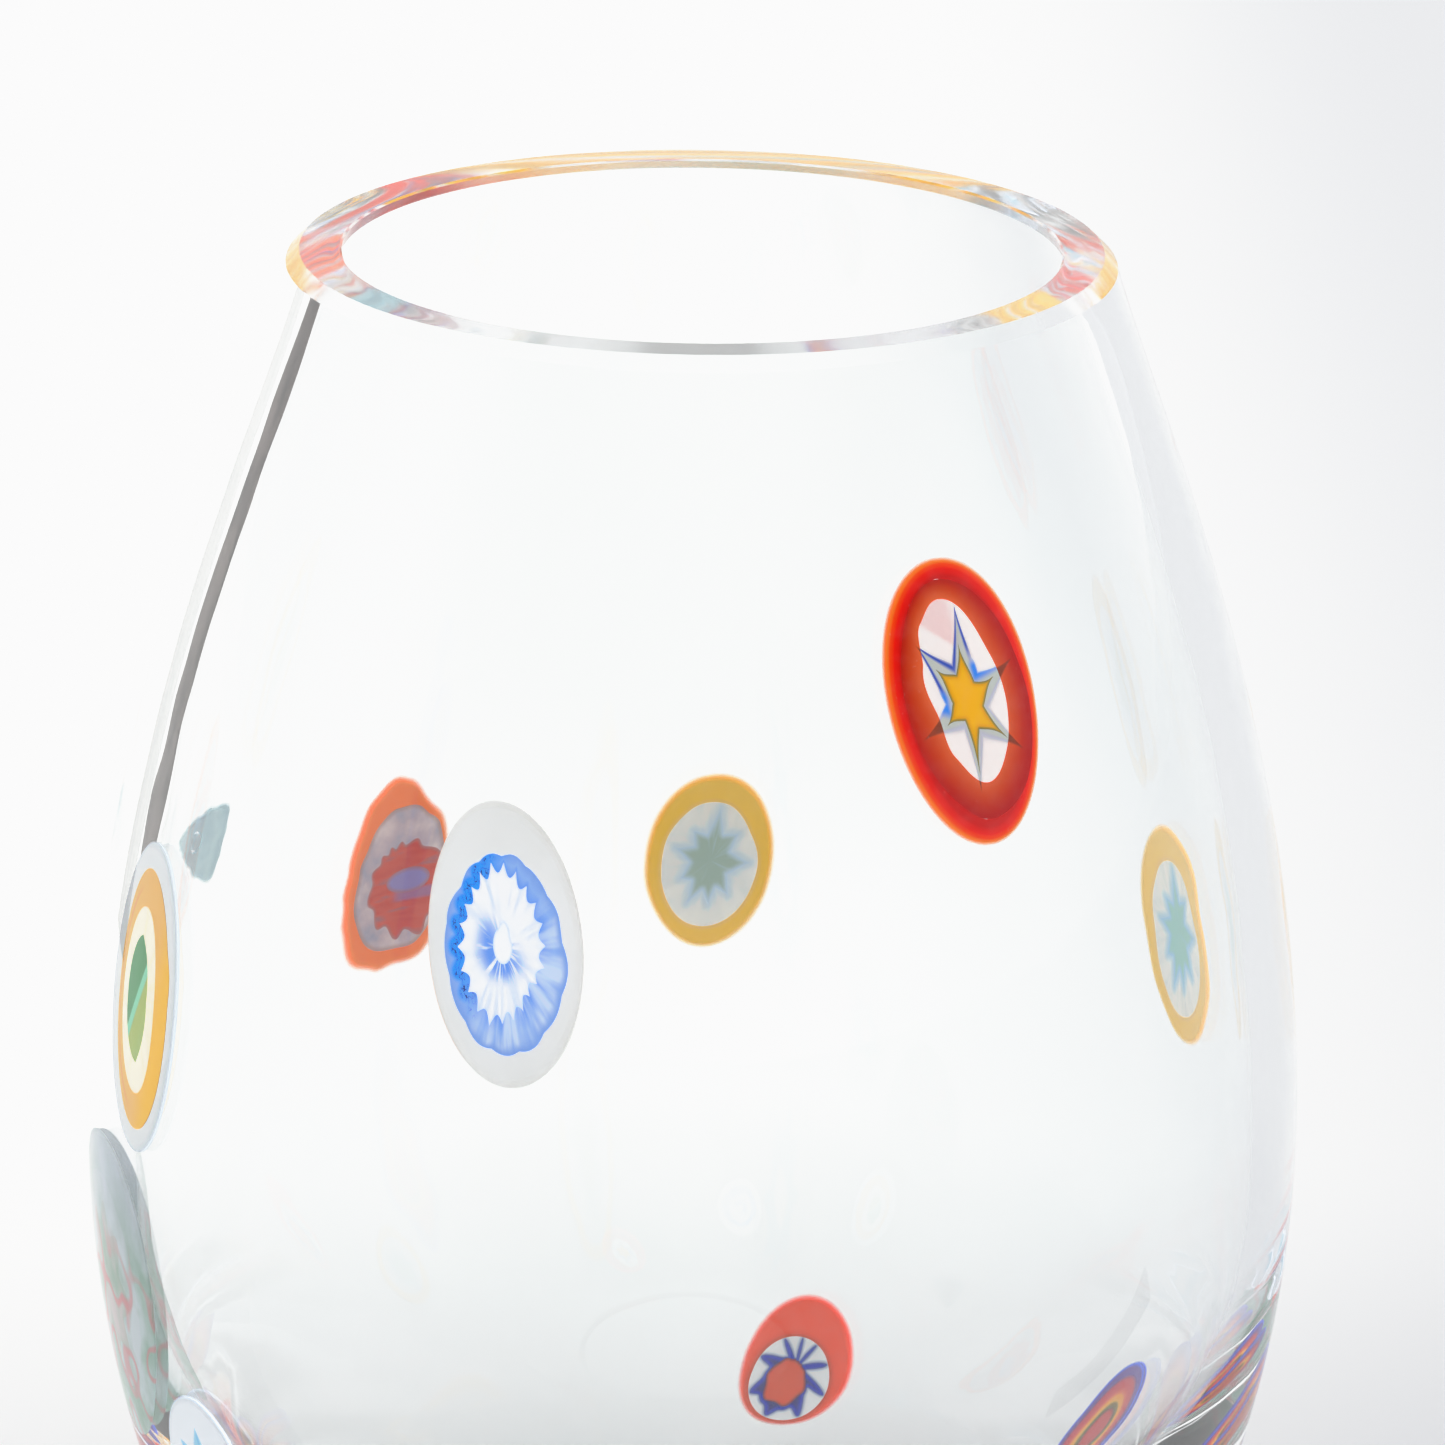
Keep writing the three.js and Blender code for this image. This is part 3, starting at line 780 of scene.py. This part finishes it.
def yellow_star(name, spot, yellow_tint, star_tint, fringe_tint):
    yellow, wire = new_finish(name + "_yellow")
    depth = attribute(wire, "edges", 1)
    band = depth.ramp((0.0, tint(250, 220, 140)), (0.7, yellow_tint), (1.0, yellow_tint))
    # Painted sheen: the upper part of the yellow band is painted paler, as if lit from above.
    painted_sheen = attribute(wire, "place", 1).between(0.1, 0.9) * 0.35
    tan = (1 - attribute(wire, "edges", 0).between(0.0, 0.8)) * 0.45
    enamel(wire, tan.mix(painted_sheen.mix(band, tint(244, 214, 130)), tint(222, 196, 148)), depth.between(-0.1, 1.2))
    cane_layer(name + "_yellow_ring", yellow, spot, oval(1, 0.02, 0.6), field_edge, 8, 0.6)

    milky, wire = new_finish(name + "_milk")
    blue_fringe = (1 - attribute(wire, "edges", 0).between(0.1, 1.5)) * 0.75
    ground = streaks(wire, 6).ramp((0.35, tint(226, 228, 228)), (0.65, tint(240, 239, 236)))
    enamel(wire, blue_fringe.mix(ground, fringe_tint))
    cane_layer(name + "_grey_field", milky, spot, field_edge, frayed, 14)

    teal, wire = new_finish(name + "_teal")
    soft = attribute(wire, "edges", 1).between(0.0, 1.1)
    core = soft.mix(fringe_tint, star_tint)
    enamel(wire, (streaks(wire, 5).between(0.5, 0.7) * 0.3).mix(core, fringe_tint))
    cane_layer(name + "_star", teal, spot, frayed, None, 8)


yellow_star("yellow_star_back", (178.6, 108, 20.3, 28, -12),
            tint(242, 196, 44), tint(166, 187, 176), tint(194, 214, 230))
yellow_star("yellow_star_side", (112.5, 115.3, 23, 32, 4),
            tint(244, 206, 100), tint(160, 206, 200), tint(168, 208, 230))
yellow_star("yellow_star_low", (34, 47, 20, 30, 6),
            tint(242, 196, 44), tint(166, 187, 176), tint(194, 214, 230))


# ---------------------------------------------------------------- Green eye
# A tall slice whose green heart is split aslant by a thin teal line, in cream,
# amber and white. The amber band is two gathers, with a thin line between them.
GREEN_EYE = (-66, 125.6, 20.8, 40, -7)
amber_edge = through((0, 0.83), (12, 0.85), (30, 0.81), (90, 0.82), (180, 0.70), (-90, 0.85))
cream_edge = through((0, 0.47), (90, 0.58), (180, 0.54), (-90, 0.62))
green_edge = pointed([(92, 0.40), (-88, 0.42)], [(0, 0.24), (180, 0.36)], 0.85)

white, wire = new_finish("green_eye_white")
depth = attribute(wire, "edges", 1)
enamel(wire, depth.ramp((0.0, tint(212, 218, 224)), (1.0, tint(224, 228, 232))), depth.between(-0.12, 0.3))
cane_layer("green_eye_white_ring", white, GREEN_EYE, oval(1, 0.01), amber_edge, 8, 0.5)

amber, wire = new_finish("green_eye_amber")
sideways = attribute(wire, "place", 0)
share = attribute(wire, "edges", 2)
warm = (sideways - attribute(wire, "place", 1) * 0.5).between(0.15, 0.7)
band = warm.mix(tint(232, 188, 108), tint(242, 194, 62))
gather_line = (1 - abs(share - 0.55).between(0.02, 0.12)) * (0 - sideways).between(0.1, 0.4)
band = (gather_line * 0.55).mix(band, tint(208, 156, 104))
outer_line = (1 - attribute(wire, "edges", 1).between(0.03, 0.16)) * sideways.between(0.1, 0.4)
enamel(wire, (outer_line * 0.7).mix(band, tint(150, 112, 60)))
cane_layer("green_eye_amber_ring", amber, GREEN_EYE, amber_edge, cream_edge, 14)

cream, wire = new_finish("green_eye_cream")
outer_line = (1 - attribute(wire, "edges", 1).between(0.03, 0.2)) * 0.4
ivory = streaks(wire, 4).ramp((0.3, tint(240, 234, 214)), (0.7, tint(248, 244, 232)))
enamel(wire, outer_line.mix(ivory, tint(214, 176, 120)))
cane_layer("green_eye_cream_ring", cream, GREEN_EYE, cream_edge, green_edge, 10)

green, wire = new_finish("green_eye_green")
aslant = (attribute(wire, "place", 0) - 0.04) * 0.9 + 0.10 - attribute(wire, "place", 1)
heart = aslant.between(-0.02, 0.01).mix(tint(92, 158, 112), tint(140, 208, 184))
heart = aslant.between(0.09, 0.13).mix(heart, tint(172, 190, 112))
enamel(wire, (aslant.between(0.2, 0.6) * 0.5).mix(heart, tint(162, 194, 140)))
cane_layer("green_eye_green_core", green, GREEN_EYE, green_edge, None, 14)


# ---------------------------------------------------------------- Teal wheel
# A small plain slice of milky grey-teal on the back wall, near the left edge.
# It was pinched into a fan when it was pressed into the hot skin.
TEAL_WHEEL = (-105.3, 130.1, 23, 15, -18)
fan_edge = through((0, 0.95), (10, 0.80), (24, 0.62), (50, 0.50), (90, 0.52), (115, 0.78), (138, 1.12),
                   (160, 1.0), (180, 0.94), (200, 1.0), (222, 1.12), (245, 0.78), (270, 0.52), (310, 0.50),
                   (336, 0.62), (350, 0.80))
teal_edge = oval(0.22, 0.03)

teal, wire = new_finish("teal_wheel_teal")
depth = attribute(wire, "edges", 1)
cloud = wire.node("TexCoord", None, None, output=3).noise(300, 2)
milk = cloud.ramp((0.35, tint(158, 188, 196)), (0.65, tint(180, 204, 208)))
enamel(wire, milk, depth.between(-0.1, 0.9))
cane_layer("teal_wheel_teal_ring", teal, TEAL_WHEEL, fan_edge, teal_edge, 8, 0.4)
cane_layer("teal_wheel_teal_core", teal, TEAL_WHEEL, teal_edge, None, 4)


# ---------------------------------------------------------------- Blue cog
# An orange-red heart with nine dark blue spikes on white, set low in a wide
# band of orange-red.
BLUE_COG = (164.6, 33.5, 18, 25, -12)
cog_window = set_off(0.02, -0.22, 0.72, 0.64)
cog_heart = set_off(0.08, -0.26, 0.37, 0.36)


def lobes(turn):
    return cog_heart(turn) * (1 - 0.05 * np.cos(9 * turn))


def spikes(turn):
    tooth = (0.5 + 0.5 * np.cos(9 * turn)) ** 2.2
    return lobes(turn) * 1.1 + (cog_window(turn) * 0.97 - lobes(turn) * 1.1) * tooth


orange, wire = new_finish("blue_cog_orange")
depth = attribute(wire, "edges", 1)
band = attribute(wire, "edges", 0).ramp(
    (0.0, tint(206, 86, 58)), (0.9, tint(238, 86, 52)), (1.0, tint(248, 92, 58)),
)
enamel(wire, band, depth.between(-0.1, 1.2))
cane_layer("blue_cog_orange_ring", orange, BLUE_COG, oval(1, 0.02, 2.0), cog_window, 8, 0.6)

white, wire = new_finish("blue_cog_white")
enamel(wire, attribute(wire, "edges", 0).ramp(
    (0.0, tint(150, 160, 190)), (0.5, tint(228, 230, 232)), (1.0, tint(236, 237, 238)),
))
cane_layer("blue_cog_white_ring", white, BLUE_COG, cog_window, spikes, 12)

blue, wire = new_finish("blue_cog_blue")
enamel(wire, attribute(wire, "edges", 1).ramp(
    (0.0, tint(90, 104, 170)), (0.35, tint(50, 66, 190)), (1.0, tint(60, 60, 130)),
))
cane_layer("blue_cog_blue_spikes", blue, BLUE_COG, spikes, lobes, 10)

red, wire = new_finish("blue_cog_red")
enamel(wire, attribute(wire, "edges", 1).ramp(
    (0.0, tint(120, 70, 90)), (0.5, tint(220, 86, 56)), (1.0, tint(226, 94, 62)),
))
cane_layer("blue_cog_red_core", red, BLUE_COG, lobes, None, 8)


# ---------------------------------------------------------------- Bullseye
# Plain rings, from a blue edge through red and amber to a red heart. It lies
# at the thick foot of the wall, which shows it more than once.
BULLSEYE = (101, 40, 20, 30, 13)
BULLSEYE_RINGS = (oval(1, 0.01), oval(0.82, 0.01, 1), oval(0.55, 0.015, 2), oval(0.34, 0.02, 3))

blue, wire = new_finish("bullseye_blue")
depth = attribute(wire, "edges", 1)
enamel(wire, depth.ramp((0.0, tint(130, 170, 255)), (0.5, tint(88, 116, 236)), (1.0, tint(120, 96, 170))),
       depth.between(-0.1, 0.5))
cane_layer("bullseye_blue_ring", blue, BULLSEYE, BULLSEYE_RINGS[0], BULLSEYE_RINGS[1], 8, 0.5)

red, wire = new_finish("bullseye_red")
enamel(wire, attribute(wire, "edges", 2).ramp(
    (0.0, tint(226, 128, 92)), (0.3, tint(214, 90, 92)),
    (0.8, tint(200, 82, 98)), (1.0, tint(128, 92, 150)),
))
cane_layer("bullseye_red_ring", red, BULLSEYE, BULLSEYE_RINGS[1], BULLSEYE_RINGS[2], 8)

yellow, wire = new_finish("bullseye_yellow")
enamel(wire, attribute(wire, "edges", 2).ramp(
    (0.0, tint(112, 100, 76)), (0.35, tint(150, 130, 84)),
    (0.5, tint(234, 178, 84)), (1.0, tint(236, 160, 84)),
))
cane_layer("bullseye_yellow_ring", yellow, BULLSEYE, BULLSEYE_RINGS[2], BULLSEYE_RINGS[3], 8)

red, wire = new_finish("bullseye_heart")
enamel(wire, attribute(wire, "edges", 2).ramp(
    (0.0, tint(206, 90, 96)), (0.8, tint(204, 84, 86)), (1.0, tint(140, 92, 84)),
))
cane_layer("bullseye_red_core", red, BULLSEYE, BULLSEYE_RINGS[3], None, 6)


# ---------------------------------------------------------------- Pale stars
# Two slices of one cane: a pale blue star round a white heart, in white.
star_tips = [(90 + 45 * i, 0.70) for i in range(8)]
star_valleys = [(112.5 + 45 * i, 0.46) for i in range(8)]
pale_edge = pointed(star_tips, star_valleys, 0.95)
pale_heart = oval(0.24, 0.05)


def pale_star(name, spot):
    white, wire = new_finish(name + "_white")
    depth = attribute(wire, "edges", 1)
    enamel(wire, depth.ramp((0.0, tint(216, 224, 234)), (1.0, tint(232, 235, 240))), depth.between(-0.1, 0.4))
    cane_layer(name + "_white_ring", white, spot, oval(1, 0.015), pale_edge, 8, 0.5)

    blue, wire = new_finish(name + "_blue")
    rays = streaks(wire, 6).ramp((0.35, tint(128, 196, 226)), (0.65, tint(176, 220, 236)))
    enamel(wire, (1 - attribute(wire, "edges", 1).between(0.0, 0.5)).mix(rays, tint(190, 214, 236)))
    cane_layer(name + "_blue_star", blue, spot, pale_edge, pale_heart, 8)

    heart, wire = new_finish(name + "_heart")
    enamel(wire, attribute(wire, "edges", 1).ramp((0.0, tint(206, 226, 240)), (0.4, tint(252, 250, 246))))
    cane_layer(name + "_white_core", heart, spot, pale_heart, None, 4)


pale_star("pale_star", (-54.5, 62.5, 20, 29, -6))
pale_star("pale_star_low", (-30, 42, 20, 29, -8))


# ---------------------------------------------------------------- Red and green wheel
# A large slice of grey-green glass with loose red threads, stretched down the
# left edge of the vase, where the thick wall bends it into swirls.
RED_GREEN_WHEEL = (-74, 83, 34, 42, 0)
grey_edge = oval(0.72, 0.03, 1)


def loose_cog(turn):
    return 0.46 * (1 + 0.16 * np.cos(8 * turn))


def threaded(name, pale, deep, thread_share):
    """Cloudy glass with thin wandering threads of red."""
    material, wire = new_finish(name)
    place = wire.node("Attribute", {"attribute_name": "place"}, None, output=1)
    place = place.vector("MULTIPLY", (1, 1, 0))
    cloud = place.noise(2.2, 3).ramp((0.38, deep), (0.62, pale))
    upper = place.part(1)
    cloud = (upper.between(0.1, 0.9) * 0.75).mix(cloud, tint(186, 192, 204))
    wander = place.noise(2.0, 1) - 0.5
    thread = (1 - abs(wander).between(0.012, 0.05)) * (1 - upper.between(0.0, 0.5))
    enamel(wire, (thread * thread_share).mix(cloud, tint(198, 116, 124)))
    return material


ring = threaded("red_green_wheel_green", tint(186, 198, 200), tint(136, 168, 152), 0.6)
cane_layer("red_green_wheel_green_ring", ring, RED_GREEN_WHEEL, oval(1, 0.03), grey_edge,
           8, 0.5)
ring = threaded("red_green_wheel_grey", tint(192, 200, 204), tint(152, 174, 166), 0.7)
cane_layer("red_green_wheel_grey_ring", ring, RED_GREEN_WHEEL, grey_edge, loose_cog, 8)
ring = threaded("red_green_wheel_red", tint(192, 184, 184), tint(140, 168, 152), 0.8)
cane_layer("red_green_wheel_red_cog", ring, RED_GREEN_WHEEL, loose_cog, None, 10)


# ---------------------------------------------------------------- Size
low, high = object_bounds()
